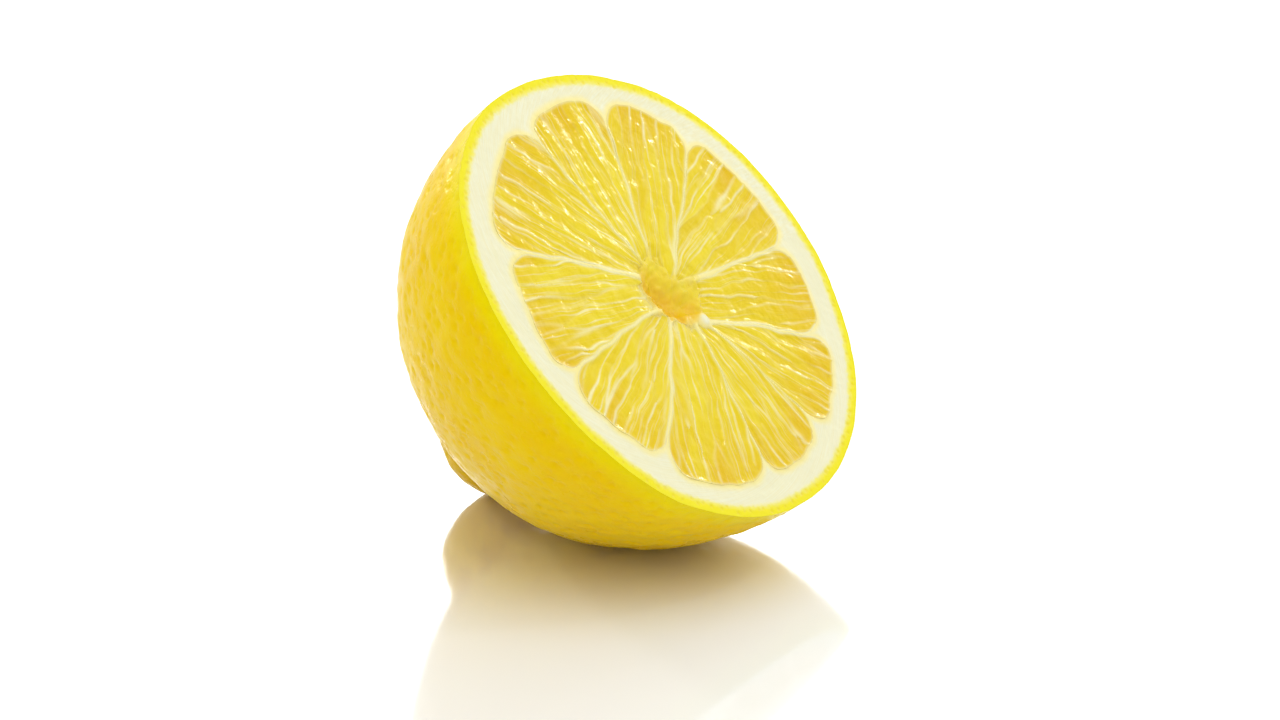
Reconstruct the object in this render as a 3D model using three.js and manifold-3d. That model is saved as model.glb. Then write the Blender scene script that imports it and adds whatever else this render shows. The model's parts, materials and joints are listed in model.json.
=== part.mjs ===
// Half a lemon, cut across its middle, lying on its flank and on the side of its nipple.
// Millimetres, +Z up. The cut face looks towards -Y and up. The origin is on the ground,
// under the middle of the fruit's box.
//
// The fruit is first turned on a lathe about Y: the cut is at y = 0 and the nipple points to +Y.
// Its sections are then made a little uneven, it is tipped until it rests on flank and nipple,
// and the two places where it touches the ground are pressed flat.
import * as THREE from 'three';
import { mergeVertices } from 'three/addons/utils/BufferGeometryUtils.js';
import Module from 'manifold-3d';

// Driving dimensions, in millimetres, and angles in degrees.
const CUT_RADIUS = 30; // mean radius of the cut face
const PULP_RADIUS = 25; // mean radius of the pulp, inside the pith
const BODY_DEPTH = 36.8; // from the cut to where the body's own curve would close
const BODY_FULLNESS = 1.95; // exponent of the body's outline; 2 is an ellipse
const NECK_DEPTH = 35; // from the cut to where the nipple takes over from the body
const NIPPLE_DEPTH = 43.5; // from the cut to the nipple's end
const NIPPLE_ROOT = 33; // depth of the widest section of the nipple, inside the body
const NIPPLE_RADIUS = 8.2; // radius of that section
const NIPPLE_FULLNESS = 3.2; // exponent of the nipple's outline
const NECK_SHARPNESS = 7; // how tightly the nipple's side meets the body's
const NIPPLE_SHIFT = { x: 2.2, z: -3.2 }; // how far the nipple's end lies off the axis
const FACE_TILT = 38.5; // how far the cut face looks up from the horizontal
const FLAT_DEPTH = 0.4; // how deep the resting places are pressed flat

// The section's waves: how many round the fruit, their height as a share of the radius,
// and where the first one peaks.
const WAVES = [
  { count: 2, height: 0.027, turn: 126 },
  { count: 3, height: 0.013, turn: 19 },
  { count: 4, height: 0.007, turn: 47 },
];

const SEGMENTS_ROUND = 72; // facets round the fruit
const BODY_STEPS = 22; // rows of facets from the cut to the neck
const NIPPLE_STEPS = 11; // rows of facets from the neck to the nipple's end

// A superellipse's radius at a share of its depth: 1 at its widest section and 0 at its end.
function roundedOutline(share, fullness) {
  return Math.max(0, 1 - share ** fullness) ** (1 / fullness);
}

// The fruit's mean radius at a depth below the cut.
function radiusAt(depth) {
  const bodyShare = Math.min(1, depth / BODY_DEPTH);
  const body = CUT_RADIUS * roundedOutline(bodyShare, BODY_FULLNESS);
  if (depth <= NIPPLE_ROOT / 2) {
    return body;
  }
  const nippleShare = Math.max(0, (depth - NIPPLE_ROOT) / (NIPPLE_DEPTH - NIPPLE_ROOT));
  const nipple = NIPPLE_RADIUS * roundedOutline(nippleShare, NIPPLE_FULLNESS);
  return (body ** NECK_SHARPNESS + nipple ** NECK_SHARPNESS) ** (1 / NECK_SHARPNESS);
}

// The lathe's outline: out along the cut face, down the side and round the nipple to the axis.
function outline() {
  const points = [new THREE.Vector2(0, 0), new THREE.Vector2(PULP_RADIUS, 0)];
  for (let i = 0; i <= BODY_STEPS; i += 1) {
    const depth = NECK_DEPTH * Math.sin((i / BODY_STEPS) * (Math.PI / 2));
    points.push(new THREE.Vector2(radiusAt(depth), depth));
  }
  for (let i = 1; i < NIPPLE_STEPS; i += 1) {
    const share = Math.sin((i / NIPPLE_STEPS) * (Math.PI / 2));
    const depth = NECK_DEPTH + (NIPPLE_DEPTH - NECK_DEPTH) * share;
    points.push(new THREE.Vector2(radiusAt(depth), depth));
  }
  points.push(new THREE.Vector2(0, NIPPLE_DEPTH));
  return points;
}

// The section's waviness at an angle round the axis, fading out towards the nipple.
function waviness(angle, depth) {
  const fade = 1 - (depth / NIPPLE_DEPTH) ** 4;
  let total = 0;
  for (const { count, height, turn } of WAVES) {
    total += height * Math.cos(count * (angle - THREE.MathUtils.degToRad(turn)));
  }
  return fade * total;
}

// Makes the sections uneven and draws the nipple off the axis.
function growUnevenly(geometry) {
  const position = geometry.getAttribute('position');
  for (let i = 0; i < position.count; i += 1) {
    const x = position.getX(i);
    const depth = position.getY(i);
    const z = position.getZ(i);
    const scale = 1 + waviness(Math.atan2(z, x), depth);
    const drift = (depth / NIPPLE_DEPTH) ** 3;
    position.setXYZ(i, x * scale + NIPPLE_SHIFT.x * drift, depth, z * scale + NIPPLE_SHIFT.z * drift);
  }
  return geometry;
}

const wasm = await Module();
wasm.setup();

// A closed geometry as a manifold-3d solid.
function toSolid(geometry) {
  const bare = geometry.clone();
  bare.deleteAttribute('normal');
  bare.deleteAttribute('uv');
  const merged = mergeVertices(bare, 1e-4);
  return new wasm.Manifold(
    new wasm.Mesh({
      numProp: 3,
      vertProperties: new Float32Array(merged.getAttribute('position').array),
      triVerts: new Uint32Array(merged.index.array),
    }),
  );
}

// A manifold-3d solid as a geometry with flat-shaded facets.
function toGeometry(solid) {
  const mesh = solid.getMesh();
  const indexed = new THREE.BufferGeometry();
  indexed.setAttribute('position', new THREE.BufferAttribute(mesh.vertProperties, 3));
  indexed.setIndex(new THREE.BufferAttribute(mesh.triVerts, 1));
  const facets = indexed.toNonIndexed();
  facets.computeVertexNormals();
  return facets;
}

// Presses the underside flat: all that lies lower than FLAT_DEPTH above the lowest point goes.
function pressFlat(geometry) {
  geometry.computeBoundingBox();
  const ground = geometry.boundingBox.min.z + FLAT_DEPTH;
  const slab = new THREE.BoxGeometry(4 * CUT_RADIUS, 4 * CUT_RADIUS, CUT_RADIUS);
  slab.translate(0, CUT_RADIUS / 2, ground - CUT_RADIUS / 2);
  return toGeometry(toSolid(geometry).subtract(toSolid(slab)));
}

// Moves a geometry until the middle of its box's underside is at the origin.
function standOnOrigin(geometry) {
  geometry.computeBoundingBox();
  const { min, max } = geometry.boundingBox;
  return geometry.translate(-(min.x + max.x) / 2, -(min.y + max.y) / 2, -min.z);
}

function makeLemonHalf() {
  const turned = growUnevenly(new THREE.LatheGeometry(outline(), SEGMENTS_ROUND));
  turned.rotateX(-THREE.MathUtils.degToRad(FACE_TILT));
  const geometry = standOnOrigin(pressFlat(turned));
  const rind = new THREE.MeshStandardMaterial({ color: '#f0c808', roughness: 0.42, metalness: 0 });
  const mesh = new THREE.Mesh(geometry, rind);
  mesh.name = 'lemon_half';
  return mesh;
}

const fruit = new THREE.Group();
fruit.add(makeLemonHalf());

export default fruit;
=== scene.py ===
"""Half a lemon, cut across its middle, lying on its flank and nipple with the cut face turned up.

Every shape is worked out in the fruit's own coordinates, in millimetres: across the cut face, up
along it, and deep into the fruit towards the nipple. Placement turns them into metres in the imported
frame. Points on the cut face itself are given by their first two coordinates.
"""

import json
import logging
import math
from dataclasses import dataclass, field
from enum import Enum
from typing import Any, Union

import bpy
import numpy as np
from mathutils import Matrix, Vector, noise


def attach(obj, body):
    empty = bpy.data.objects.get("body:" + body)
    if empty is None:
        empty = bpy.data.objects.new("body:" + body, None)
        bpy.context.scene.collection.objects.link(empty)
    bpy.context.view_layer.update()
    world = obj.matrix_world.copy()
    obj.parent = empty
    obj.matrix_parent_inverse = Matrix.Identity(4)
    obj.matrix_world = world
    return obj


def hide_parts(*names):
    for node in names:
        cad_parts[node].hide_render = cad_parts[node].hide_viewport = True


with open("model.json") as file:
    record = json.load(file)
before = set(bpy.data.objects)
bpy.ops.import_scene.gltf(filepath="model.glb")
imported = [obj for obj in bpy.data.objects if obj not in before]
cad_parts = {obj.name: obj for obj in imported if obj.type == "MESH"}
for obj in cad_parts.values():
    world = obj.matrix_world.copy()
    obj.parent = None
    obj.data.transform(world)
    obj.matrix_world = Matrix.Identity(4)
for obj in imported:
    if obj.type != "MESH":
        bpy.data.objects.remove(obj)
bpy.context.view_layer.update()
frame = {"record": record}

Array = np.ndarray
Pair = tuple[float, float]
Triple = tuple[float, float, float]
Colour = Triple
Face = tuple[int, int, int]
Marks = dict[str, Array]
Piece = bpy.types.Object
Material = bpy.types.Material
Node = bpy.types.Node
Socket = bpy.types.NodeSocket

LOG = logging.getLogger("half_lemon")
MM = 0.001
FULL_TURN = 2 * math.pi
CREASE_ANGLE = 62.0  # degrees; a sharper edge is shaded as a crease


# ------------------------------------------------------------------------------------------
# Small numerical helpers
# ------------------------------------------------------------------------------------------


def smooth_step(low: float | Array, high: float | Array, value: Array) -> Array:
    """Rises smoothly from 0 at low to 1 at high."""
    share = np.clip((value - low) / (high - low), 0.0, 1.0)
    return share * share * (3.0 - 2.0 * share)


def bell(width: float, value: Array) -> Array:
    """A bell curve: 1 at zero, fading out over width."""
    return np.exp(-((value / width) ** 2))


def grain(points: Array, size: float, place: float = 0.0) -> Array:
    """Smooth noise on points.

    Args:
        points: n by 3 array, in millimetres.
        size: how wide a lump of the noise is, in millimetres.
        place: which part of the endless noise is used.

    Returns:
        One number per point, from about -1 to 1.
    """
    return np.array([noise.noise(Vector(point)) for point in points / size + place])


def nearest_site(points: Array, spacing: float) -> Array:
    """Distance to the nearest of scattered sites that fill space evenly.

    Args:
        points: n by 3 array, in millimetres.
        spacing: mean distance between sites, in millimetres.

    Returns:
        One distance per point, in millimetres.
    """
    return spacing * np.array([noise.voronoi(Vector(point))[0][0] for point in points / spacing])


def rounded_meet(first: Array, second: Array, radius: float) -> Array:
    """Distance inside two edges at once, with the corner between them rounded.

    Args:
        first: distance inside the first edge.
        second: distance inside the second edge.
        radius: the corner's radius.

    Returns:
        Distance inside the rounded shape, negative outside it.
    """
    corner = np.hypot(np.maximum(radius - first, 0.0), np.maximum(radius - second, 0.0))
    return np.where(corner > 0.0, radius - corner, np.minimum(first, second))


def on_plane(flat: Array, depth: float = 0.0) -> Array:
    """Points of the cut face as points in space, at one depth."""
    return np.column_stack([flat, np.full(len(flat), depth)])


def ring_counts(radius: Array, step: float) -> Array:
    """How many points each of a row of rings has.

    Args:
        radius: the rings' radii, of which the first is 0.
        step: distance between the points of a ring.

    Returns:
        One point for the first ring, and six or more for each of the others.
    """
    counts = np.maximum(6, np.round(FULL_TURN * radius / step).astype(int))
    counts[0] = 1
    return counts


def ring_angles(counts: Array) -> Array:
    """The angles of all rings' points, with every other ring turned by half a step.

    Args:
        counts: how many points each ring has.

    Returns:
        The angles in radians, ring after ring.
    """
    rings = [(np.arange(n) + 0.5 * (k % 2)) * FULL_TURN / n for k, n in enumerate(counts)]
    return np.concatenate(rings)


# ------------------------------------------------------------------------------------------
# Where the fruit lies, and its outline
# ------------------------------------------------------------------------------------------


@dataclass(frozen=True)
class Placement:
    """The middle of the cut face, in metres, and the fruit's three directions in the frame."""

    middle: Array
    across: Array
    up: Array
    deep: Array

    @classmethod
    def on_mount(cls, record: dict[str, Any], name: str) -> "Placement":
        """Reads the cut face's place from a flat-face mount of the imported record.

        Args:
            record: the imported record.
            name: the mount's name.

        Returns:
            The placement whose cut face is that mount.
        """
        mount = next(each for each in record["mounts"] if each["name"] == name)
        outward = np.array(mount["axis"], float)
        outward /= np.linalg.norm(outward)
        across = np.array([1.0, 0.0, 0.0])
        return cls(np.array(mount["pos_m"], float), across, np.cross(outward, across), -outward)

    def to_frame(self, points: Array) -> Array:
        """Turns points in the fruit's millimetres into the frame's metres."""
        axes = np.stack([self.across, self.up, self.deep])
        return self.middle + points @ axes * MM


@dataclass(frozen=True)
class Wave:
    """One wave round the fruit's section: how many, how high as a share, and where the first peaks."""

    count: int
    height: float
    turn: float

    def at(self, angle: Array) -> Array:
        """The wave's height at an angle in radians."""
        return self.height * np.cos(self.count * (angle - math.radians(self.turn)))


@dataclass(frozen=True)
class FruitShape:
    """The fruit's outline: an oval body with a blunt nipple, slightly uneven all round."""

    cut_radius: float = 30.0
    body_depth: float = 36.8
    body_fullness: float = 1.95
    nipple_depth: float = 43.5
    nipple_root: float = 33.0
    nipple_radius: float = 8.2
    nipple_fullness: float = 3.2
    neck_depth: float = 35.0
    neck_sharpness: float = 7.0
    nipple_shift: Pair = (2.2, -3.2)
    waves: tuple[Wave, ...] = (Wave(2, 0.027, 126.0), Wave(3, 0.013, 19.0), Wave(4, 0.007, 47.0))
    outline_samples: int = 6000

    @staticmethod
    def _rounded(share: Array, fullness: float) -> Array:
        """A superellipse's radius at a share of its depth."""
        return np.maximum(0.0, 1.0 - np.clip(share, 0.0, 1.0) ** fullness) ** (1.0 / fullness)

    def radius_at(self, depth: Array) -> Array:
        """The fruit's mean radius.

        Args:
            depth: how deep below the cut.

        Returns:
            One radius per depth.
        """
        body = self.cut_radius * self._rounded(depth / self.body_depth, self.body_fullness)
        share = (depth - self.nipple_root) / (self.nipple_depth - self.nipple_root)
        nipple = self.nipple_radius * self._rounded(share, self.nipple_fullness)
        sharp = self.neck_sharpness
        return (body**sharp + nipple**sharp) ** (1.0 / sharp)

    def section_scale(self, angle: Array, depth: Array) -> Array:
        """How much wider the section is than a circle, at an angle in radians and a depth."""
        fade = 1.0 - (depth / self.nipple_depth) ** 4
        return 1.0 + fade * sum(wave.at(angle) for wave in self.waves)

    def place(self, angle: Array, radius: Array, depth: Array) -> Array:
        """Places points on the fruit's uneven sections.

        Args:
            angle: each point's angle round the fruit, in radians.
            radius: its radius before the section is made uneven.
            depth: its depth below the cut.

        Returns:
            The points.
        """
        wide = radius * self.section_scale(angle, depth)
        drift = (depth / self.nipple_depth) ** 3
        across = wide * np.cos(angle) + self.nipple_shift[0] * drift
        up = wide * np.sin(angle) + self.nipple_shift[1] * drift
        return np.stack([across, up, depth], axis=1)

    def outline(self, step: float) -> tuple[Array, Array, Array]:
        """The side's outline from the nipple's end to the cut.

        Args:
            step: distance between points along the outline.

        Returns:
            Radius, depth and the outward direction as (radial, deep) pairs, one for each point.
        """
        depth = self.nipple_depth * np.cos(np.linspace(0.0, math.pi / 2, self.outline_samples))
        radius = self.radius_at(depth)
        run = np.concatenate([[0.0], np.cumsum(np.hypot(np.diff(radius), np.diff(depth)))])
        even = np.linspace(0.0, run[-1], int(run[-1] / step) + 1)
        radius, depth = np.interp(even, run, radius), np.interp(even, run, depth)
        radial, deep = -np.gradient(depth), np.gradient(radius)
        outward = np.stack([radial, deep], axis=1)
        return radius, depth, outward / np.linalg.norm(outward, axis=1, keepdims=True)


# ------------------------------------------------------------------------------------------
# Closed meshes made of rings of points
# ------------------------------------------------------------------------------------------


@dataclass
class RingStack:
    """A closed surface: a point, rings of points that all run the same way round, and a last point."""

    rings: list[Array] = field(default_factory=list)

    def add(self, points: Array) -> None:
        """Adds the next ring, an n by 3 array."""
        self.rings.append(np.asarray(points, float).reshape(-1, 3))

    @property
    def points(self) -> Array:
        """All points, ring after ring."""
        return np.concatenate(self.rings)

    def filled(self, marks: Marks) -> Marks:
        """Lengthens marks with zeros, for the rings that were added after they were made.

        Args:
            marks: values for the first points.

        Returns:
            The same values, followed by zeros for the rest of the points.
        """
        total = len(self.points)
        result: Marks = {}
        for label, values in marks.items():
            zeros = np.zeros((total - len(values), *values.shape[1:]))
            result[label] = np.concatenate([values, zeros])
        return result

    def triangles(self) -> list[Face]:
        """Zips each ring to the next one.

        Returns:
            The triangles, as the numbers of their points.
        """
        faces: list[Face] = []
        start = 0
        for ring, following in zip(self.rings, self.rings[1:]):
            size, other = len(ring), len(following)
            ring_edges, other_edges = (count if count > 1 else 0 for count in (size, other))
            after = start + size
            i = j = 0
            for _ in range(ring_edges + other_edges):
                ring_is_behind = (i + 0.5) * other <= (j + 0.5) * size
                if i < ring_edges and (j == other_edges or ring_is_behind):
                    faces.append((start + i, start + (i + 1) % size, after + j % other))
                    i += 1
                else:
                    faces.append((start + i % size, after + (j + 1) % other, after + j))
                    j += 1
            start = after
        return faces


def make_piece(name: str, points: Array, faces: list[Face], marks: Marks) -> Piece:
    """Makes a smooth closed mesh object that faces outwards.

    Args:
        name: the piece's name.
        points: its points, in metres.
        faces: its triangles.
        marks: numbers or vectors, one per point, that its material reads.

    Returns:
        The new object.
    """
    corners = points[np.array(faces)]
    volume = np.einsum("ij,ij->i", corners[:, 0], np.cross(corners[:, 1], corners[:, 2])).sum()
    if volume < 0.0:
        faces = [(a, c, b) for a, b, c in faces]
    mesh = bpy.data.meshes.new(name)
    mesh.from_pydata(points.tolist(), [], faces)
    for label, values in marks.items():
        wide = values.ndim == 2
        mark = mesh.attributes.new(label, "FLOAT_VECTOR" if wide else "FLOAT", "POINT")
        mark.data.foreach_set("vector" if wide else "value", values.astype(np.float32).ravel())
    mesh.shade_smooth()
    mesh.set_sharp_from_angle(angle=math.radians(CREASE_ANGLE))
    piece = bpy.data.objects.new(name, mesh)
    bpy.context.scene.collection.objects.link(piece)
    LOG.info("%s: %d points, %d triangles", name, len(points), len(faces))
    return piece


# ------------------------------------------------------------------------------------------
# Shader arithmetic
# ------------------------------------------------------------------------------------------


class Number:
    """A shader number. Plain arithmetic on it adds Math nodes."""

    def __init__(self, bench: "Bench", socket: Socket) -> None:
        """Keeps the bench that its nodes go on and the socket that it comes from."""
        self.bench = bench
        self.socket = socket

    def _with(self, operation: str, *values: "Operand") -> "Number":
        """One Math node on these values."""
        node = self.bench.node("ShaderNodeMath", {"operation": operation}, dict(enumerate(values)))
        return Number(self.bench, node.outputs[0])

    def __add__(self, other: "Operand") -> "Number":
        """self + other."""
        return self._with("ADD", self, other)

    __radd__ = __add__

    def __mul__(self, other: "Operand") -> "Number":
        """self * other."""
        return self._with("MULTIPLY", self, other)

    __rmul__ = __mul__

    def __sub__(self, other: "Operand") -> "Number":
        """self - other."""
        return self._with("SUBTRACT", self, other)

    def __rsub__(self, other: float) -> "Number":
        """other - self."""
        return self._with("SUBTRACT", other, self)

    def between(self, low: float, high: float) -> "Number":
        """Rises smoothly with this number.

        Args:
            low: where the result starts to rise from 0.
            high: where it reaches 1.

        Returns:
            The result, from 0 to 1.
        """
        settings = {"interpolation_type": "SMOOTHSTEP", "clamp": True}
        inputs = {"Value": self, "From Min": low, "From Max": high}
        node = self.bench.node("ShaderNodeMapRange", settings, inputs)
        return Number(self.bench, node.outputs["Result"])

    def clamped(self) -> "Number":
        """Kept between 0 and 1."""
        return Number(self.bench, self.bench.node("ShaderNodeClamp", {}, {"Value": self}).outputs[0])


Operand = Union[float, Number]
Input = Union[float, tuple[float, ...], Number, Socket]


class Bench:
    """One material's nodes."""

    def __init__(self, name: str) -> None:
        """Starts a material that holds only a Principled shader."""
        self.material = bpy.data.materials.new(name)
        self.material.use_nodes = True
        self.nodes = self.material.node_tree.nodes
        self.links = self.material.node_tree.links
        self.shader = self.nodes["Principled BSDF"]

    def node(self, kind: str, settings: dict[str, Any], inputs: dict[Any, Input]) -> Node:
        """Adds a node.

        Args:
            kind: the node's type.
            settings: its properties, set first.
            inputs: a value, or what to link, for each socket's name or index.

        Returns:
            The node.
        """
        made = self.nodes.new(kind)
        for key, value in settings.items():
            setattr(made, key, value)
        for key, value in inputs.items():
            self.feed(made.inputs[key], value)
        return made

    def feed(self, socket: Socket, value: Input) -> None:
        """Sets or links a socket.

        Args:
            socket: the input socket.
            value: its value, or the number or output socket that it is linked to.
        """
        if isinstance(value, Number):
            self.links.new(value.socket, socket)
        elif isinstance(value, Socket):
            self.links.new(value, socket)
        elif socket.type == "RGBA":
            socket.default_value = (*value, 1.0)
        else:
            socket.default_value = value

    def mark(self, label: str) -> Number:
        """A number that the mesh holds for each point."""
        node = self.node("ShaderNodeAttribute", {"attribute_name": label}, {})
        return Number(self, node.outputs["Fac"])

    def mark_vector(self, label: str) -> Socket:
        """A vector that the mesh holds for each point."""
        return self.node("ShaderNodeAttribute", {"attribute_name": label}, {}).outputs["Vector"]

    def scaled(self, vector: Socket, scale: Triple) -> Socket:
        """A vector with each of its three numbers scaled."""
        settings = {"operation": "MULTIPLY"}
        return self.node("ShaderNodeVectorMath", settings, {0: vector, 1: scale}).outputs[0]

    def millimetres(self) -> Socket:
        """Where a point of the surface is, in millimetres."""
        metres = self.node("ShaderNodeTexCoord", {}, {}).outputs["Object"]
        return self.scaled(metres, (1.0 / MM, 1.0 / MM, 1.0 / MM))

    def noise(self, vector: Socket, size: float, detail: float = 2.0, rough: float = 0.5) -> Number:
        """Soft noise.

        Args:
            vector: where it is looked up.
            size: how wide a lump of it is, in the vector's units.
            detail: how many finer layers lie on it.
            rough: how strong they are.

        Returns:
            A number from 0 to 1.
        """
        inputs = {"Vector": vector, "Scale": 1.0 / size, "Detail": detail, "Roughness": rough}
        return Number(self, self.node("ShaderNodeTexNoise", {}, inputs).outputs["Fac"])

    def pits(self, vector: Socket, spacing: float) -> Number:
        """Distance to the nearest of scattered sites.

        Args:
            vector: where it is looked up.
            spacing: how far apart the sites are, in the vector's units.

        Returns:
            The distance, as a share of the spacing.
        """
        inputs = {"Vector": vector, "Scale": 1.0 / spacing, "Smoothness": 0.25}
        node = self.node("ShaderNodeTexVoronoi", {"feature": "SMOOTH_F1"}, inputs)
        return Number(self, node.outputs["Distance"])

    def blend(self, share: Number, low: Input, high: Input) -> Socket:
        """Mixes two colours.

        Args:
            share: how much of the second colour there is, from 0 to 1.
            low: the colour where the share is 0.
            high: the colour where it is 1.

        Returns:
            The mixed colour.
        """
        node = self.node("ShaderNodeMix", {"data_type": "RGBA"}, {})
        self.feed(node.inputs["Factor"], share)
        colours = [socket for socket in node.inputs if socket.type == "RGBA"]
        self.feed(colours[0], low)
        self.feed(colours[1], high)
        return next(socket for socket in node.outputs if socket.type == "RGBA")

    def bump(self, height: Number, distance: float, strength: float) -> Socket:
        """Turns a height into a normal.

        Args:
            height: the height, from 0 to 1.
            distance: how far 0 and 1 are apart, in metres.
            strength: how much of the bump shows.

        Returns:
            The normal.
        """
        inputs = {"Height": height, "Distance": distance, "Strength": strength}
        return self.node("ShaderNodeBump", {}, inputs).outputs["Normal"]

    def finish(self, varying: dict[str, Input], fixed: dict[str, Input]) -> Material:
        """Feeds the Principled shader.

        Args:
            varying: what changes over the surface.
            fixed: what is the same all over.

        Returns:
            The material.
        """
        for key, value in {**varying, **fixed}.items():
            self.feed(self.shader.inputs[key], value)
        return self.material


# ------------------------------------------------------------------------------------------
# Finishes: sizes and depths in millimetres
# ------------------------------------------------------------------------------------------


@dataclass(frozen=True)
class SkinFinish:
    """Waxy lemon skin: deep yellow, finely pored, browned at the nipple's scar; amber at the nipple
    with painted shade in its crease valleys, and painted light in a lighter band along the cut's edge.
    """

    deep_yellow: Colour = (0.90, 0.59, 0.0)
    bright_yellow: Colour = (0.92, 0.65, 0.0)
    # painted light: a lighter yellow for the band along the cut's edge, where light catches the rim
    lit_rim_yellow: Colour = (0.94, 0.77, 0.0)
    pore_yellow: Colour = (0.82, 0.50, 0.0)
    # the nipple's amber colour, also used as painted shade in the crease valleys round it
    neck_amber_and_crease_shade: Colour = (0.72, 0.42, 0.004)
    scar_brown: Colour = (0.27, 0.15, 0.045)
    tint_size: float = 9.0
    mottle_size: float = 1.3
    fine_spacing: float = 0.55
    wax_size: float = 0.22
    fine_depth: float = 0.05
    gloss_roughness: float = 0.26

    def material(self) -> Material:
        """Builds the material.

        Returns:
            The material.
        """
        bench = Bench("lemon_skin")
        here = bench.millimetres()
        pore, scar = bench.mark("pore"), bench.mark("scar")
        tint = bench.noise(here, self.tint_size, detail=3.0).between(0.35, 0.68)
        mottle = bench.noise(here, self.mottle_size).between(0.3, 0.7)
        fine = bench.pits(here, self.fine_spacing).between(0.1, 0.5)
        colour = bench.blend(tint * 0.6 + mottle * 0.4, self.deep_yellow, self.bright_yellow)
        # painted light: the lighter yellow blended in along the cut's edge
        colour = bench.blend(bench.mark("rim") * 0.85, colour, self.lit_rim_yellow)
        colour = bench.blend(pore * 0.15, colour, self.pore_yellow)
        # the nipple's amber, stronger in the crease valleys as painted shade
        colour = bench.blend(bench.mark("neck") * 0.8, colour, self.neck_amber_and_crease_shade)
        colour = bench.blend(scar, colour, self.scar_brown)
        height = fine * 0.6 + bench.noise(here, self.wax_size) * 0.4
        return bench.finish(
            {
                "Base Color": colour,
                "Roughness": self.gloss_roughness + tint * 0.08 + pore * 0.1 + scar * 0.3,
                "Normal": bench.bump(height, self.fine_depth * MM, 0.7),
            },
            {
                "Subsurface Weight": 0.12,
                "Subsurface Radius": (1.0, 0.55, 0.06),
                "Subsurface Scale": 0.0012,
                "Specular IOR Level": 0.16,
                "Specular Tint": (1.0, 0.70, 0.02),
            },
        )


@dataclass(frozen=True)
class PithFinish:
    """The skin's cut edge, the spongy white pith, the walls between segments and the amber core, with
    painted shade on the hollow's deep side.
    """

    zest: Colour = (0.90, 0.80, 0.0)
    zest_inner: Colour = (0.90, 0.82, 0.14)
    white: Colour = (0.89, 0.88, 0.64)
    shade: Colour = (0.86, 0.82, 0.52)
    wall: Colour = (0.95, 0.83, 0.30)
    pale_core: Colour = (0.86, 0.68, 0.02)
    # the amber of the core's membranes, also painted shade on the hollow's deep side
    amber: Colour = (0.85, 0.52, 0.0)
    gland: Colour = (0.85, 0.70, 0.0)
    zest_ends: Pair = (0.6, 1.3)
    zest_inner_ends: Pair = (1.1, 1.8)
    ragged_size: float = 0.7
    sponge_size: float = 0.35
    sponge_depth: float = 0.12
    fibres_per_mm: Triple = (2.6, 0.7, 1.0)
    dry_roughness: float = 0.62

    def material(self) -> Material:
        """Builds the material.

        Returns:
            The material.
        """
        bench = Bench("lemon_pith")
        here = bench.millimetres()
        core, wall, gland = bench.mark("core"), bench.mark("wall"), bench.mark("gland")
        ragged = bench.noise(here, self.ragged_size) - 0.5
        from_skin = bench.mark("from_skin") + ragged * 0.7
        along_fibres = bench.scaled(bench.mark_vector("fibre"), self.fibres_per_mm)
        fibres = bench.noise(along_fibres, 1.0, detail=3.0, rough=0.6)
        colour = bench.blend(fibres.between(0.35, 0.7), self.shade, self.white)
        colour = bench.blend(wall, colour, self.wall)
        colour = bench.blend(core, colour, self.pale_core)
        # amber membrane and painted shade: deeper amber towards the hollow's deep side
        colour = bench.blend(bench.mark("amber"), colour, self.amber)
        colour = bench.blend(1.0 - from_skin.between(*self.zest_inner_ends), colour, self.zest_inner)
        colour = bench.blend(1.0 - from_skin.between(*self.zest_ends), colour, self.zest)
        colour = bench.blend(gland * 0.7, colour, self.gland)
        sponge = bench.noise(here, self.sponge_size, detail=3.0, rough=0.65)
        return bench.finish(
            {
                "Base Color": colour,
                "Roughness": self.dry_roughness - core * 0.42 - wall * 0.25 - gland * 0.3,
                "Normal": bench.bump(sponge * 0.6 + fibres * 0.4, self.sponge_depth * MM, 0.55),
            },
            {
                "Subsurface Weight": 0.15,
                "Subsurface Radius": (1.0, 0.9, 0.6),
                "Subsurface Scale": 0.0003,
                "Specular IOR Level": 0.4,
            },
        )


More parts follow.
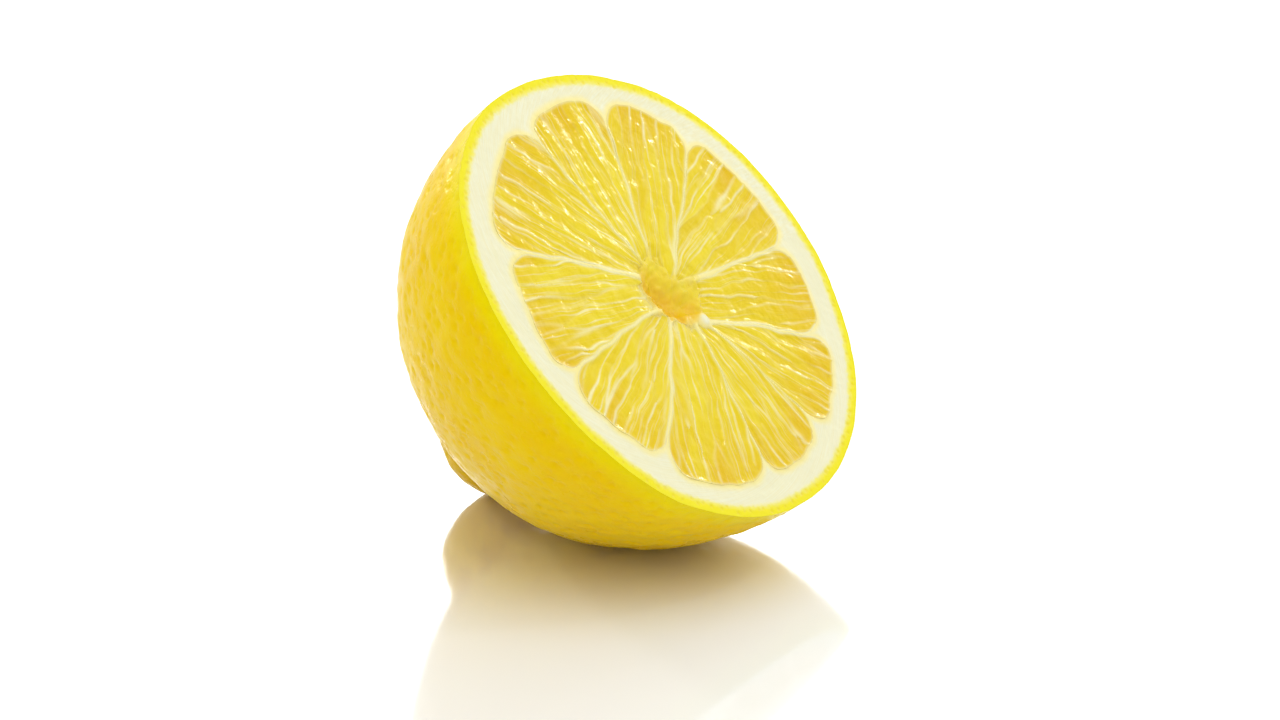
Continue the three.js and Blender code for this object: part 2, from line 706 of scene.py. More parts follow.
@dataclass(frozen=True)
class PulpFinish:
    """Wet, translucent juice sacs with pale skins between them; streaks run along the sacs."""

    pale: Colour = (0.85, 0.69, 0.02)
    full: Colour = (0.80, 0.59, 0.0)
    deep: Colour = (0.78, 0.49, 0.0)
    thread: Colour = (0.93, 0.88, 0.52)
    streaks_per_mm: Triple = (2.8, 0.07, 1.0)
    dark_streaks_per_mm: Triple = (1.6, 0.13, 2.0)
    clouds_per_mm: Triple = (0.5, 0.14, 1.0)
    ripple_size: float = 0.5
    ripple_depth: float = 0.18
    wet_roughness: float = 0.13

    def material(self) -> Material:
        """Builds the material.

        Returns:
            The material.
        """
        bench = Bench("lemon_pulp")
        along = bench.mark_vector("grain")
        thread = bench.mark("thread")
        streak = bench.noise(bench.scaled(along, self.streaks_per_mm), 1.0, detail=3.0, rough=0.6)
        dark_streak = bench.noise(bench.scaled(along, self.dark_streaks_per_mm), 1.0)
        cloud = bench.noise(bench.scaled(along, self.clouds_per_mm), 1.0, detail=1.0)
        tone = bench.mark("tone") * 0.65 + cloud.between(0.3, 0.7) * 0.35
        juicy_end = (bench.mark("reach").between(0.55, 1.0) * (1.1 - tone)).clamped()
        colour = bench.blend(tone, self.full, self.pale)
        colour = bench.blend(juicy_end * 0.8, colour, self.deep)
        colour = bench.blend(dark_streak.between(0.5, 0.72) * 0.6, colour, self.full)
        colour = bench.blend(streak.between(0.53, 0.70) * (0.18 + tone * 0.62), colour, self.thread)
        colour = bench.blend(thread, colour, self.thread)
        height = streak * 0.7 + bench.noise(along, self.ripple_size) * 0.3
        return bench.finish(
            {
                "Base Color": colour,
                "Roughness": self.wet_roughness + streak * 0.12 + thread * 0.05,
                "Normal": bench.bump(height, self.ripple_depth * MM, 0.55),
            },
            {
                "Subsurface Weight": 0.25,
                "Subsurface Radius": (1.0, 0.9, 0.35),
                "Subsurface Scale": 0.0005,
                "Specular IOR Level": 0.35,
                "Specular Tint": (1.0, 0.88, 0.30),
                "Coat Weight": 0.2,
                "Coat Roughness": 0.06,
            },
        )


# ------------------------------------------------------------------------------------------
# The skin
# ------------------------------------------------------------------------------------------


@dataclass
class Skin:
    """The outside of the fruit, from the cut's edge round the nipple, with a pocket for the pith."""

    shape: FruitShape
    step: float = 0.315
    swell: float = 0.24
    swell_size: float = 9.0
    small_swell_size: float = 4.2
    pebble: float = 0.15
    pebble_size: float = 2.1
    pore_depth: float = 0.22
    pore_spacing: float = 1.45
    pore_radius: float = 0.42
    pucker: float = 0.26
    pucker_count: int = 9
    pucker_reach: float = 3.2
    pucker_middle: float = 35.4
    amber_depths: Pair = (33.0, 37.0)
    scar_radius: float = 2.2
    scar_depth: float = 0.55
    button_radius: float = 0.75
    rim_width: float = 4.5
    calm_rim_width: float = 2.5
    pocket_depth: float = 8.0
    pocket_taper: float = 2.2
    pocket_gap: float = 0.35
    pocket_rows: Pair = (0.45, 1.0)
    pocket_sides: int = 180

    def _relief(
        self, points: Array, angle: Array, depth: Array, from_tip: Array
    ) -> tuple[Array, Marks]:
        """Works out the skin's swells, pebbles, pores, puckers and scar.

        Args:
            points: points on the plain outline.
            angle: their angles round the fruit, in radians.
            depth: their depths below the cut.
            from_tip: their distances from the nipple's end, along the surface.

        Returns:
            How far the skin stands out from the plain outline, and the marks that its finish reads.
        """
        near_neck = bell(self.pucker_reach, depth - self.pucker_middle)
        swell = self.swell * grain(points, self.swell_size)
        swell += 0.4 * self.swell * grain(points, self.small_swell_size, 7.0)
        pebble = self.pebble * grain(points, self.pebble_size, 3.0)
        pore = bell(self.pore_radius, nearest_site(points, self.pore_spacing))
        wander = 0.8 * grain(points, 7.0, 11.0)
        folds = np.cos(self.pucker_count * angle + 3.0 * wander)
        pucker = self.pucker * near_neck * (folds - 0.6) * (0.75 + 0.5 * wander)
        scar = 1.0 - smooth_step(0.6 * self.scar_radius, self.scar_radius, from_tip)
        dent = self.scar_depth * (0.7 * bell(self.button_radius, from_tip) - scar)
        calm = 1.0 - 0.7 * scar
        # painted shade: more amber in the valleys of the puckers, where they dip inwards, on top of the
        # nipple's own amber
        amber_and_crease_shade = near_neck * (0.6 + 0.4 * smooth_step(-0.4, 0.8, -folds))
        marks = {
            "neck": np.maximum(amber_and_crease_shade, smooth_step(*self.amber_depths, depth) * 0.6),
            "scar": scar,
            "pore": pore * calm,
            # painted light: the band along the cut's edge that gets the lighter yellow
            "rim": 1.0 - smooth_step(0.0, self.rim_width, depth + 0.8 * wander),
        }
        texture = pebble - self.pore_depth * pore
        texture *= 0.35 + 0.65 * smooth_step(0.0, self.calm_rim_width, depth)
        return (swell + texture) * calm + pucker + dent, marks

    def rim_radius(self, angle: Array) -> Array:
        """The cut's outer radius, with the skin's own relief.

        Args:
            angle: angles round the fruit, in radians.

        Returns:
            One radius per angle.
        """
        rim = np.full_like(angle, self.shape.cut_radius)
        flat = self.shape.place(angle, rim, np.zeros_like(angle))
        far = np.full_like(angle, self.shape.nipple_depth)
        relief, _ = self._relief(flat, angle, flat[:, 2], far)
        return np.hypot(flat[:, 0], flat[:, 1]) + relief

    def add_pocket(self, stack: RingStack, gap: float, depth: float) -> None:
        """Closes a stack that ends at the cut's rim with a tapered pocket.

        Args:
            stack: the stack.
            gap: how far the pocket's mouth lies inside the rim.
            depth: how deep its floor lies.
        """
        turn = np.linspace(0.0, FULL_TURN, self.pocket_sides, endpoint=False)
        way = np.stack([np.cos(turn), np.sin(turn)], axis=1)
        rim = self.rim_radius(turn)
        for share in self.pocket_rows:
            radius = rim - gap - self.pocket_taper * share
            stack.add(on_plane(radius[:, None] * way, depth * share))
        stack.add(np.array([[0.0, 0.0, depth]]))

    def build(self, placement: Placement) -> Piece:
        """Makes the skin's mesh.

        Args:
            placement: where the fruit lies.

        Returns:
            The skin's object.
        """
        radius, depth, outward = self.shape.outline(self.step)
        counts = ring_counts(radius, self.step)
        angle = ring_angles(counts)
        rings = np.repeat(np.arange(len(counts)), counts)
        points = self.shape.place(angle, radius[rings], depth[rings])
        relief, marks = self._relief(points, angle, depth[rings], self.step * rings)
        radial, deep = outward[rings].T
        way = np.stack([np.cos(angle) * radial, np.sin(angle) * radial, deep], axis=1)
        points += way * relief[:, None]
        points[-counts[-1] :, 2] = 0.0
        stack = RingStack(np.split(points, np.cumsum(counts)[:-1]))
        self.add_pocket(stack, self.pocket_gap, self.pocket_depth)
        placed = placement.to_frame(stack.points)
        placed[:, 2] = np.maximum(placed[:, 2], 0.0)
        return make_piece("skin", placed, stack.triangles(), stack.filled(marks))


# ------------------------------------------------------------------------------------------
# The cut face: walls, core, segments and pith
# ------------------------------------------------------------------------------------------


@dataclass(frozen=True)
class Core:
    """The ragged hollow in the middle of the cut face, and the spot of white pith beside it."""

    middle: Pair = (0.3, -0.4)
    half_long: float = 4.6
    half_wide: float = 3.9
    turn: float = -45.0
    tongue: Pair = (4.3, 2.7)
    tongue_radius: float = 3.5
    depth: float = 1.6
    deep_side: Pair = (-0.75, -0.65)
    deep_side_blur: float = 2.2
    raggedness: float = 0.55
    rag_size: float = 1.9
    small_rag_size: float = 0.9
    spot: Pair = (2.9, -5.0)
    spot_radius: float = 0.75

    def outside(self, flat: Array) -> Array:
        """Distance outside the hollow's edge, negative inside it.

        The hollow is an oval that a round tongue of pulp fills from one side.

        Args:
            flat: points on the cut face.

        Returns:
            One distance for each point.
        """
        turned = math.radians(self.turn)
        x, y = flat[:, 0] - self.middle[0], flat[:, 1] - self.middle[1]
        long = x * math.cos(turned) + y * math.sin(turned)
        wide = y * math.cos(turned) - x * math.sin(turned)
        share = np.hypot(long / self.half_long, wide / self.half_wide)
        spread = np.hypot(long, wide) / np.maximum(share, 1e-6)
        here = on_plane(flat)
        rags = grain(here, self.rag_size, 5.0) + 1.1 * grain(here, self.small_rag_size, 2.0)
        beside_tongue = np.hypot(flat[:, 0] - self.tongue[0], flat[:, 1] - self.tongue[1])
        plain_edge = np.maximum((share - 1.0) * spread, self.tongue_radius - beside_tongue)
        return plain_edge + self.raggedness * rags

    def beside_spot(self, flat: Array) -> Array:
        """Distance from the middle of the white spot, for points on the cut face."""
        return np.hypot(flat[:, 0] - self.spot[0], flat[:, 1] - self.spot[1])

    def towards_deep_side(self, flat: Array) -> Array:
        """How far points of the cut face lie towards the hollow's deep side, from 0 to 1."""
        x, y = flat[:, 0] - self.middle[0], flat[:, 1] - self.middle[1]
        along = self.deep_side[0] * x + self.deep_side[1] * y
        return smooth_step(-self.deep_side_blur, self.deep_side_blur, along)


@dataclass(frozen=True)
class Wall:
    """A wall between two segments: its angle at the pith, a point near the core, and its look."""

    angle: float
    inner: Pair
    half_width: float
    paleness: float
    pith_radius: float = 25.0

    def ends(self) -> tuple[Array, Array]:
        """The wall's end near the core and its end at the pith."""
        turned = math.radians(self.angle)
        return np.array(self.inner), self.pith_radius * np.array([math.cos(turned), math.sin(turned)])


@dataclass
class Segment:
    """One juicy segment, between a wall and the next one round."""

    first: Wall
    second: Wall
    reach: float
    milkiness: float
    outer_corner: float = 3.4
    wall_corner: float = 0.5
    core_corner: float = 0.7
    heart_radius: float = 16.5
    outer_paleness: float = 0.55
    outer_end: float = 1.5

    @staticmethod
    def _beside(wall: Wall, plain: Array, side: float) -> Array:
        """Distance from a wall.

        Args:
            wall: the wall.
            plain: points of the plain layout.
            side: 1 where the points left of the wall count as clear of it, -1 where those right do.

        Returns:
            One distance for each point.
        """
        inner, outer = wall.ends()
        along = (outer - inner) / np.linalg.norm(outer - inner)
        offset = plain - inner
        return side * (along[0] * offset[:, 1] - along[1] * offset[:, 0]) - wall.half_width

    def _beside_both(self, plain: Array) -> tuple[Array, Array]:
        """Distances from the segment's two walls, positive between them."""
        return self._beside(self.first, plain, 1.0), self._beside(self.second, plain, -1.0)

    def inside(self, plain: Array, core_gap: Array) -> Array:
        """Distance inside the segment's outline, negative outside it.

        Args:
            plain: points of the plain layout.
            core_gap: their distances outside the core.

        Returns:
            One distance for each point.
        """
        walls = rounded_meet(*self._beside_both(plain), self.wall_corner)
        outer = self.reach - np.hypot(plain[:, 0], plain[:, 1])
        return rounded_meet(rounded_meet(walls, outer, self.outer_corner), core_gap, self.core_corner)

    def paleness(self, plain: Array) -> Array:
        """How pale the segment's skin is: like the nearer wall, or in between at its outer end.

        Args:
            plain: points of the plain layout.

        Returns:
            One share for each point.
        """
        first, second = self._beside_both(plain)
        nearer = np.where(first < second, self.first.paleness, self.second.paleness)
        return np.where(np.minimum(first, second) < self.outer_end, nearer, self.outer_paleness)

    @property
    def bisector(self) -> float:
        """The angle of the segment's middle line, in radians."""
        span = (self.second.angle - self.first.angle) % 360.0
        return math.radians(self.first.angle + span / 2)

    @property
    def heart(self) -> Array:
        """A point well inside the segment."""
        return self.heart_radius * np.array([math.cos(self.bisector), math.sin(self.bisector)])

    @property
    def apex(self) -> Array:
        """Where the two walls' lines would meet, near the core."""
        ends = [wall.ends() for wall in (self.first, self.second)]
        ways = [outer - inner for inner, outer in ends]
        matrix = np.stack([ways[0], -ways[1]], axis=1)
        share = np.linalg.solve(matrix, ends[1][0] - ends[0][0])[0]
        return ends[0][0] + share * ways[0]


@dataclass
class CutFace:
    """The cut face's layout: ten segments round a core, drawn plainly and then bent as if grown."""

    core: Core = field(default_factory=Core)
    walls: tuple[Wall, ...] = (
        Wall(108.0, (-1.5, 3.8), 0.03, 0.55),
        Wall(152.0, (-2.7, 2.4), 0.13, 1.0),
        Wall(191.0, (-5.4, -2.1), 0.08, 0.75),
        Wall(229.0, (-2.9, -4.2), 0.09, 0.8),
        Wall(267.0, (1.3, -5.9), 0.03, 0.5),
        Wall(297.0, (3.7, -6.2), 0.03, 0.45),
        Wall(328.5, (5.3, -6.0), 0.12, 1.0),
        Wall(358.5, (6.5, -0.2), 0.12, 0.95),
        Wall(401.5, (4.4, 3.0), 0.06, 0.6),
        Wall(434.5, (0.8, 6.5), 0.05, 0.65),
    )
    reaches: tuple[float, ...] = (26.4, 24.6, 24.5, 25.9, 25.8, 26.8, 25.2, 25.4, 25.4, 26.0)
    milkiness: tuple[float, ...] = (0.4, 0.7, 0.65, 0.5, 0.35, 0.15, 0.2, 0.5, 0.4, 0.4)
    wide_bend: float = 0.6
    wide_bend_size: float = 8.0
    narrow_bend: float = 0.28
    narrow_bend_size: float = 2.6
    rays: int = 720
    longest_ray: float = 20.0
    halvings: int = 18

    def segments(self) -> list[Segment]:
        """The segments, in order round the face."""
        following = self.walls[1:] + self.walls[:1]
        return [Segment(*each) for each in zip(self.walls, following, self.reaches, self.milkiness)]

    def plain(self, flat: Array) -> tuple[Array, Array]:
        """Finds points of the face in the plain layout.

        Args:
            flat: points on the cut face.

        Returns:
            The points in the plain layout, and their distances outside the core and its white spot.
        """
        here = on_plane(flat)
        bends = [
            self.wide_bend * grain(here, self.wide_bend_size, place)
            + self.narrow_bend * grain(here, self.narrow_bend_size, place + 5.0)
            for place in (3.0, 13.0)
        ]
        plain = flat + np.stack(bends, axis=1)
        gap = np.minimum(self.core.outside(plain), self.core.beside_spot(plain) - self.core.spot_radius)
        return plain, gap

    def outline(self, segment: Segment, step: float) -> Array:
        """A segment's outline on the cut face.

        Args:
            segment: the segment.
            step: distance between points along the outline.

        Returns:
            The outline's points.
        """
        turn = np.linspace(0.0, FULL_TURN, self.rays, endpoint=False)
        way = np.stack([np.cos(turn), np.sin(turn)], axis=1)
        low, high = np.zeros(self.rays), np.full(self.rays, self.longest_ray)
        for _ in range(self.halvings):
            middle = (low + high) / 2
            within = segment.inside(*self.plain(segment.heart + way * middle[:, None])) > 0.0
            low, high = np.where(within, middle, low), np.where(within, high, middle)
        edge = segment.heart + way * low[:, None]
        closed = np.concatenate([edge, edge[:1]])
        run = np.concatenate([[0.0], np.cumsum(np.linalg.norm(np.diff(closed, axis=0), axis=1))])
        even = np.linspace(0.0, run[-1], int(run[-1] / step), endpoint=False)
        return np.stack([np.interp(even, run, closed[:, k]) for k in (0, 1)], axis=1)


@dataclass
class Pith:
    """The whole cut face beneath and between the segments, and the pith below it."""

    skin: Skin
    face: CutFace
    step: float = 0.176
    gland_count: int = 150
    gland_radius: float = 0.36
    gland_depths: Pair = (0.45, 1.15)
    gland_dent: float = 0.08
    glands_end: float = 2.1
    bed_depth: float = 0.9
    bed_edge: Pair = (0.08, 0.55)
    wall_edge: Pair = (-1.0, -0.05)
    pulp_edge: Pair = (22.0, 24.0)
    wall_drop: float = 0.02
    sponge: float = 0.05
    sponge_size: float = 0.8
    swell: float = 0.07
    swell_size: float = 3.4
    dish: float = 0.12
    dish_width: float = 1.6
    dish_middle: float = 3.6
    bevel: float = 0.5
    spot_height: float = 0.35
    pocket_gap: float = 0.45
    pocket_clearance: float = 0.1
    seed: int = 4

    def _glands(self, flat: Array, rim: Array, angle: Array) -> Array:
        """Scatters the oil glands in the skin's cut edge.

        Args:
            flat: points on the cut face.
            rim: the cut's outer radius at their angles.
            angle: their angles, in radians.

        Returns:
            1 in the middle of a gland and 0 clear of all, for each point.
        """
        random = np.random.default_rng(self.seed)
        shifts = random.uniform(-0.35, 0.35, self.gland_count)
        turns = (np.arange(self.gland_count) + shifts) / self.gland_count * FULL_TURN
        below = random.uniform(*self.gland_depths, self.gland_count)
        sizes = self.gland_radius * random.uniform(0.6, 1.15, self.gland_count)
        result = np.zeros(len(flat))
        spots = np.flatnonzero(rim - np.hypot(flat[:, 0], flat[:, 1]) < self.glands_end)
        nearby = 0.03
        for turn, drop, size in zip(turns, below, sizes):
            gap = np.abs((angle[spots] - turn + math.pi) % FULL_TURN - math.pi)
            close = spots[gap < nearby]
            middle = (rim[close, None] - drop) * np.array([math.cos(turn), math.sin(turn)])
            away = np.hypot(*(flat[close] - middle).T)
            result[close] = np.maximum(result[close], 1.0 - smooth_step(0.4 * size, size, away))
        return result

    def _surface(self, flat: Array, rim: Array, angle: Array) -> tuple[Array, Marks]:
        """Shapes the face.

        Args:
            flat: points on the cut face.
            rim: the cut's outer radius at their angles.
            angle: their angles, in radians.

        Returns:
            Each point's depth below the cut's plane, and the marks that its finish reads.
        """
        here = on_plane(flat)
        distance = np.hypot(flat[:, 0], flat[:, 1])
        from_skin = rim - distance
        core = self.face.core
        plain, free = self.face.plain(flat)
        inside = np.max([segment.inside(plain, free) for segment in self.face.segments()], axis=0)
        core_gap = core.outside(plain)
        deep_side = core.towards_deep_side(plain)
        gland = self._glands(flat, rim, angle)
        among_pulp = 1.0 - smooth_step(*self.pulp_edge, distance)
        sunk = self.bed_depth * smooth_step(*self.bed_edge, inside) + self.wall_drop * among_pulp
        patchy = 1.0 - 0.25 * smooth_step(-0.3, 0.6, grain(here, 3.0, 2.0))
        wall = smooth_step(*self.wall_edge, inside) * patchy
        in_core = 1.0 - smooth_step(-0.6, 0.6 + 2.4 * (1.0 - deep_side), core_gap)
        hollow = core.depth * (0.35 + 0.65 * deep_side) * (1.0 - smooth_step(-2.4, 0.4, core_gap))
        rags = in_core * (0.4 * grain(here, 1.3, 9.0) + 0.2 * grain(here, 0.6, 1.0))
        beside_spot = core.beside_spot(plain) / core.spot_radius
        spot = 1.0 - smooth_step(0.5, 1.3, beside_spot)
        sponge = self.sponge * grain(here, self.sponge_size)
        sponge += self.swell * grain(here, self.swell_size, 4.0)
        sponge *= 1.0 - 0.8 * among_pulp
        dished = self.dish * bell(self.dish_width, from_skin - self.dish_middle)
        depth = (sunk + hollow + rags) * (1.0 - spot) - self.spot_height * spot
        depth += (sponge + dished) * smooth_step(0.0, self.bevel, from_skin) + self.gland_dent * gland
        # partly painted shade: more amber towards the hollow's deep side, where it is deepest, broken
        # up by noise
        amber = np.clip(deep_side + 0.5 * grain(here, 1.6, 3.0), 0.0, 1.0)
        marks = {
            "from_skin": from_skin,
            "wall": wall * (1.0 - spot),
            "core": in_core * (1.0 - spot),
            "amber": in_core * (1.0 - spot) * amber,
            "gland": gland,
            "fibre": on_plane(np.stack([distance * angle, distance], axis=1)),
        }
        return depth, marks

    def build(self, placement: Placement) -> Piece:
        """Makes the pith's mesh.

        Args:
            placement: where the fruit lies.

        Returns:
            The pith's object.
        """
        radius = self.skin.shape.cut_radius
        rows = int(radius / self.step)
        shares = np.arange(rows + 1) / rows
        counts = ring_counts(shares * radius, self.step)
        angle = ring_angles(counts)
        rim = self.skin.rim_radius(angle)
        distance = rim * np.repeat(shares, counts)
        flat = np.stack([distance * np.cos(angle), distance * np.sin(angle)], axis=1)
        depth, marks = self._surface(flat, rim, angle)
        depth[-counts[-1] :] = 0.0
        stack = RingStack(np.split(np.column_stack([flat, depth]), np.cumsum(counts)[:-1]))
        self.skin.add_pocket(stack, self.pocket_gap, self.skin.pocket_depth - self.pocket_clearance)
        placed = placement.to_frame(stack.points)
        return make_piece("pith", placed, stack.triangles(), stack.filled(marks))


@dataclass
class Pulp:
    """The juice sacs of one segment, as one wet lump."""

    face: CutFace
    segment: Segment
    seed: int
    step: float = 0.135
    row: float = 0.155
    skirt: float = 3.0
    skirt_sides: int = 60
    sac_spacing: float = 1.55
    sac_length: float = 7.5
    bulge: float = 0.20
    bulge_edge: float = 0.3
    slump: float = 0.14
    flush: float = 0.03
    uneven_fill: float = 0.16
    lip: float = 0.12
    lip_width: float = 0.12
    lump: float = 0.12
    lump_size: float = 1.5
    thread_width: float = 0.10
    wall_skin_width: float = 0.22
    tip_drop: float = 0.45
    tip_width: float = 1.5
    fray_width: float = 0.9
    strands_per_mm: Pair = (0.6, 0.16)
    inner_radius: float = 5.0

    def _place_in_noise(self, flat: Array) -> Array:
        """Points of the cut face, lifted so that each segment's noise is its own."""
        return on_plane(flat, 3.0 * self.seed)

    def _sacs(self, plain: Array) -> tuple[Array, Array, Array, Array, Array]:
        """The long juice sacs that point to the segment's apex.

        Args:
            plain: points of the plain layout.

        Returns:
            Distance from the nearest border between sacs; whether that border runs along the sacs (1)
            or across them (0); three random numbers from 0 to 1 that are the sac's own; and the point's
            places across and along the sacs.
        """
        random = np.random.default_rng(self.seed)
        offset = plain - self.segment.apex
        run = np.hypot(offset[:, 0], offset[:, 1])
        angle = np.arctan2(offset[:, 1], offset[:, 0])
        swing = (angle - self.segment.bisector + math.pi) % FULL_TURN - math.pi
        here = self._place_in_noise(plain)
        fanned = swing * (2.4 + 0.62 * run)
        sideways = fanned + 0.28 * grain(here, 5.5) + 0.05 * grain(here, 1.3, 6.0)
        along = run / self.sac_length + 0.25 * grain(here, 5.0, 8.0)
        rows, columns = np.mgrid[-1:7, -7:8]
        sites = np.stack([(columns + 0.5 * (rows % 2)).ravel(), rows.ravel() * 0.87], axis=1)
        sites = (sites + random.uniform(-0.4, 0.4, sites.shape)) * self.sac_spacing
        gaps = np.hypot(sideways[:, None] - sites[None, :, 0], along[:, None] - sites[None, :, 1])
        nearest = np.argpartition(gaps, 1, axis=1)[:, :2]
        order = np.argsort(np.take_along_axis(gaps, nearest, axis=1), axis=1)
        pair = np.take_along_axis(nearest, order, axis=1)
        two = np.take_along_axis(gaps, pair, axis=1)
        between = sites[pair[:, 1]] - sites[pair[:, 0]]
        lengthwise = np.abs(between[:, 0]) / np.hypot(between[:, 0], between[:, 1])
        chance = random.uniform(0.0, 1.0, (len(sites), 3))
        return (two[:, 1] - two[:, 0]) / 2, lengthwise, chance[pair[:, 0]], fanned, run

    def _surface(self, flat: Array) -> tuple[Array, Marks]:
        """Shapes the cut sacs.

        Args:
            flat: points on the cut face.

        Returns:
            Each point's depth below the cut's plane, and the marks that its finish reads.
        """
        here = self._place_in_noise(flat)
        plain, core_gap = self.face.plain(flat)
        from_core = np.maximum(core_gap, 0.0)
        inside = self.segment.inside(plain, core_gap)
        border, lengthwise, chance, across, run = self._sacs(plain)
        cut_chance, fill_chance, core_chance = chance.T
        side = smooth_step(0.25, 0.85, lengthwise)
        cut_open = smooth_step(0.55, 0.75, cut_chance)
        bulge = self.bulge * (1.0 - 1.4 * cut_open) + self.uneven_fill * (fill_chance - 0.5)
        bulge *= 1.0 - np.exp(-border / self.bulge_edge)
        fine, long = self.strands_per_mm
        strands = np.column_stack([across * fine, run * long, here[:, 2]])
        patchy = smooth_step(-0.25, 0.45, grain(strands, 1.0, 5.0))
        lip = self.lip * bell(self.lip_width, border) * side * (0.25 + 0.75 * patchy)
        lumps = self.lump * grain(here, self.lump_size, 2.0) + 0.03 * grain(here, 0.6, 4.0)
        tip = self.tip_drop * bell(self.tip_width, from_core) * (0.3 + core_chance)
        sag = (self.slump - bulge - lumps) * smooth_step(0.0, 0.8, inside)
        depth = self.flush + sag - lip + tip
        milkiness = self.segment.milkiness
        thread = bell(self.thread_width, border) * side * (0.15 + 0.7 * patchy)
        thread *= 0.55 + 0.7 * milkiness
        wall_skin = bell(self.wall_skin_width, np.maximum(inside, 0.0)) * self.segment.paleness(plain)
        deep_side = self.face.core.towards_deep_side(plain)
        frayed = 0.8 * deep_side * bell(self.fray_width, from_core) * smooth_step(0.3, 0.7, core_chance)
        distance = np.hypot(plain[:, 0], plain[:, 1])
        reach = (distance - self.inner_radius) / (self.segment.reach - self.inner_radius)
        tone = milkiness + 0.9 * (fill_chance - 0.5) + 0.35 * bell(0.35, reach)
        marks = {
            "thread": np.clip(np.max([thread, wall_skin, frayed], axis=0), 0.0, 1.0),
            "tone": np.clip(tone, 0.0, 1.0),
            "reach": np.clip(reach, 0.0, 1.0),
            "grain": on_plane(np.stack([across, run], axis=1), 5.0 * self.seed),
        }
        return depth, marks

    def build(self, name: str, placement: Placement) -> Piece:
        """Makes the segment's mesh.

        Args:
            name: the piece's name.
            placement: where the fruit lies.

        Returns:
            The segment's object.
        """
        heart, edge = self.segment.heart, self.face.outline(self.segment, self.step)
        rows = int(np.linalg.norm(edge - heart, axis=1).max() / self.row)
        closed = np.concatenate([edge, edge[:1]])
        places = np.arange(len(closed))
        flats = [heart[None, :]]
        for k in range(1, rows + 1):
            count = max(6, round(len(edge) * k / rows))
            half_step = 0.5 * (k % 2) * (k < rows)
            at = (np.arange(count) + half_step) * len(edge) / count
            ring = np.stack([np.interp(at, places, closed[:, axis]) for axis in (0, 1)], axis=1)
            flats.append(heart + (ring - heart) * k / rows)
        sizes = [len(each) for each in flats]
        flat = np.concatenate(flats)
        depth, marks = self._surface(flat)
        stack = RingStack(np.split(np.column_stack([flat, depth]), np.cumsum(sizes)[:-1]))
        coarse = edge[:: len(edge) // self.skirt_sides]
        for drop, share in ((0.4 * self.skirt, 0.995), (self.skirt, 0.93)):
            stack.add(on_plane(heart + (coarse - heart) * share, drop))
        stack.add(on_plane(heart[None, :], self.skirt))
        placed = placement.to_frame(stack.points)
        return make_piece(name, placed, stack.triangles(), stack.filled(marks))


# ------------------------------------------------------------------------------------------
# The studio
# ------------------------------------------------------------------------------------------


class LightRole(Enum):
    """What a lamp is for."""

    KEY = "key"
    BACK = "back"
    SPARKLE = "sparkle"
    RIM = "rim"


@dataclass(frozen=True)
class Softbox:
    """A square soft lamp that looks at the fruit."""

    role: LightRole
    azimuth: float
    elevation: float
    distance: float
    size: float
    power: float

    def build(self, target: Vector) -> None:
        """Hangs the lamp.

        Args:
            target: the point that it looks at.
        """
        lamp = bpy.data.lights.new(self.role.value, "AREA")
        lamp.shape = "SQUARE"
        lamp.size = self.size
        lamp.energy = self.power
        piece = bpy.data.objects.new(f"lamp_{self.role.value}", lamp)
        way = view_direction(self.azimuth, self.elevation)
        piece.location = target + way * self.distance
        piece.rotation_euler = way.to_track_quat("Z", "Y").to_euler()
        bpy.context.scene.collection.objects.link(piece)


def view_direction(azimuth: float, elevation: float) -> Vector:
    """The direction towards a viewer.

    Args:
        azimuth: degrees round the fruit; a viewer at 0 looks along +Y.
        elevation: degrees above the floor.

    Returns:
        A unit vector.
    """
    turned, raised = math.radians(azimuth), math.radians(elevation)
    level = math.cos(raised)
    return Vector((math.sin(turned) * level, -math.cos(turned) * level, math.sin(raised)))


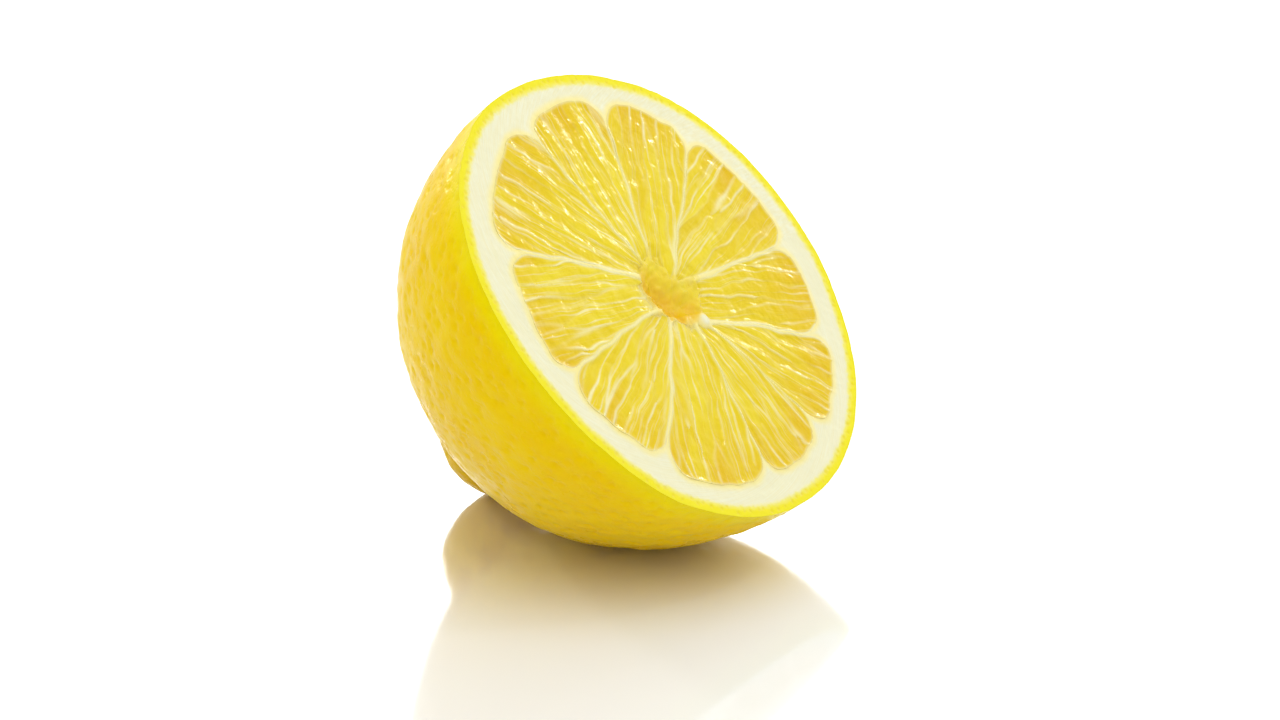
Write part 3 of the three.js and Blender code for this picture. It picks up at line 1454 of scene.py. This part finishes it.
@dataclass(frozen=True)
class Studio:
    """White surroundings, a glossy white floor, soft lamps and the camera; lengths in metres."""

    azimuth: float = -54.2
    elevation: float = 18.9
    distance: float = 0.370
    lens: float = 86.8  # millimetres, as is the sensor
    sensor: float = 36.0
    aim_left: float = 0.0034
    aim_down: float = 0.0086
    low_light: float = 0.74
    high_light: float = 1.0
    high_from: float = 0.32
    floor_half: float = 6.0
    floor_gap: float = 0.00002
    floor_white: Colour = (0.86, 0.87, 0.87)
    polish: float = 0.63
    polish_middle: Triple = (0.0, 7.0, 0.0)  # millimetres, as is the reach
    polish_reach: Pair = (12.0, 42.0)
    lamps: tuple[Softbox, ...] = (
        Softbox(LightRole.KEY, -30.0, 60.0, 0.60, 0.30, 0.25),
        Softbox(LightRole.BACK, 126.0, 22.0, 0.90, 0.60, 2.6),
        Softbox(LightRole.RIM, -190.0, 20.0, 0.60, 0.05, 0.55),
        Softbox(LightRole.SPARKLE, 88.0, 20.0, 0.45, 0.03, 0.10),
        Softbox(LightRole.SPARKLE, 36.0, 52.0, 0.45, 0.03, 0.10),
    )

    def build(self, middle: Vector) -> None:
        """Sets up the studio.

        Args:
            middle: the middle of the cut face.
        """
        self._camera(middle)
        self._world()
        self._floor()
        for lamp in self.lamps:
            lamp.build(middle)
        bpy.context.scene.view_settings.view_transform = "Standard"

    def _camera(self, middle: Vector) -> None:
        """Aims the camera a little left of and below the middle of the cut face.

        Args:
            middle: the middle of the cut face.
        """
        way = view_direction(self.azimuth, self.elevation)
        right = view_direction(self.azimuth + 90.0, 0.0)
        upward = way.cross(right)
        place = middle - right * self.aim_left - upward * self.aim_down + way * self.distance
        camera = bpy.data.objects.new("camera", bpy.data.cameras.new("camera"))
        camera.data.lens = self.lens
        camera.data.sensor_width = self.sensor
        camera.data.clip_start = 0.01
        turned = Matrix((right, upward, way)).transposed().to_4x4()
        camera.matrix_world = Matrix.Translation(place) @ turned
        bpy.context.scene.collection.objects.link(camera)
        bpy.context.scene.camera = camera

    def _world(self) -> None:
        """White light from all round, weaker near the ground and stronger from above."""
        world = bpy.data.worlds.new("studio")
        world.use_nodes = True
        tree = world.node_tree
        place = tree.nodes.new("ShaderNodeTexCoord")
        split = tree.nodes.new("ShaderNodeSeparateXYZ")
        ramp = tree.nodes.new("ShaderNodeMapRange")
        ramp.interpolation_type = "SMOOTHSTEP"
        ramp.inputs["From Max"].default_value = self.high_from
        ramp.inputs["To Min"].default_value = self.low_light
        ramp.inputs["To Max"].default_value = self.high_light
        background = tree.nodes["Background"]
        background.inputs["Color"].default_value = (1.0, 1.0, 1.0, 1.0)
        tree.links.new(place.outputs["Generated"], split.inputs[0])
        tree.links.new(split.outputs["Z"], ramp.inputs["Value"])
        tree.links.new(ramp.outputs["Result"], background.inputs["Strength"])
        bpy.context.scene.world = world

    def _floor(self) -> None:
        """A wide glossy white floor just under the fruit, polished like a mirror close to it."""
        half, low = self.floor_half, -self.floor_gap
        mesh = bpy.data.meshes.new("floor")
        corners = [(-half, -half, low), (half, -half, low), (half, half, low), (-half, half, low)]
        mesh.from_pydata(corners, [], [(0, 1, 2, 3)])
        floor = bpy.data.objects.new("floor", mesh)
        bench = Bench("white_gloss_floor")
        ends = {0: bench.millimetres(), 1: self.polish_middle}
        gap = bench.node("ShaderNodeVectorMath", {"operation": "DISTANCE"}, ends)
        away = Number(bench, gap.outputs["Value"])
        varying = {"Metallic": (1.0 - away.between(*self.polish_reach)) * self.polish}
        fixed = {"Base Color": self.floor_white, "Roughness": 0.09, "IOR": 1.8}
        mesh.materials.append(bench.finish(varying, fixed))
        bpy.context.scene.collection.objects.link(floor)


# ------------------------------------------------------------------------------------------
# Putting it together
# ------------------------------------------------------------------------------------------


def dress(piece: Piece, material: Material) -> None:
    """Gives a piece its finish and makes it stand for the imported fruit.

    Args:
        piece: the piece.
        material: its material.
    """
    piece.data.materials.append(material)
    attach(piece, "root")
    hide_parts("lemon_half")


def main() -> None:
    """Builds the fruit and its studio."""
    logging.basicConfig(level=logging.INFO, format="%(message)s")
    placement = Placement.on_mount(frame["record"], "cut_face")
    skin = Skin(FruitShape())
    face = CutFace()
    dress(skin.build(placement), SkinFinish().material())
    dress(Pith(skin, face).build(placement), PithFinish().material())
    pulp = PulpFinish().material()
    for number, segment in enumerate(face.segments(), start=1):
        sacs = Pulp(face, segment, seed=number)
        dress(sacs.build(f"segment_{number:02d}", placement), pulp)
    Studio().build(Vector(placement.middle))


if __name__ == "__main__":
    main()
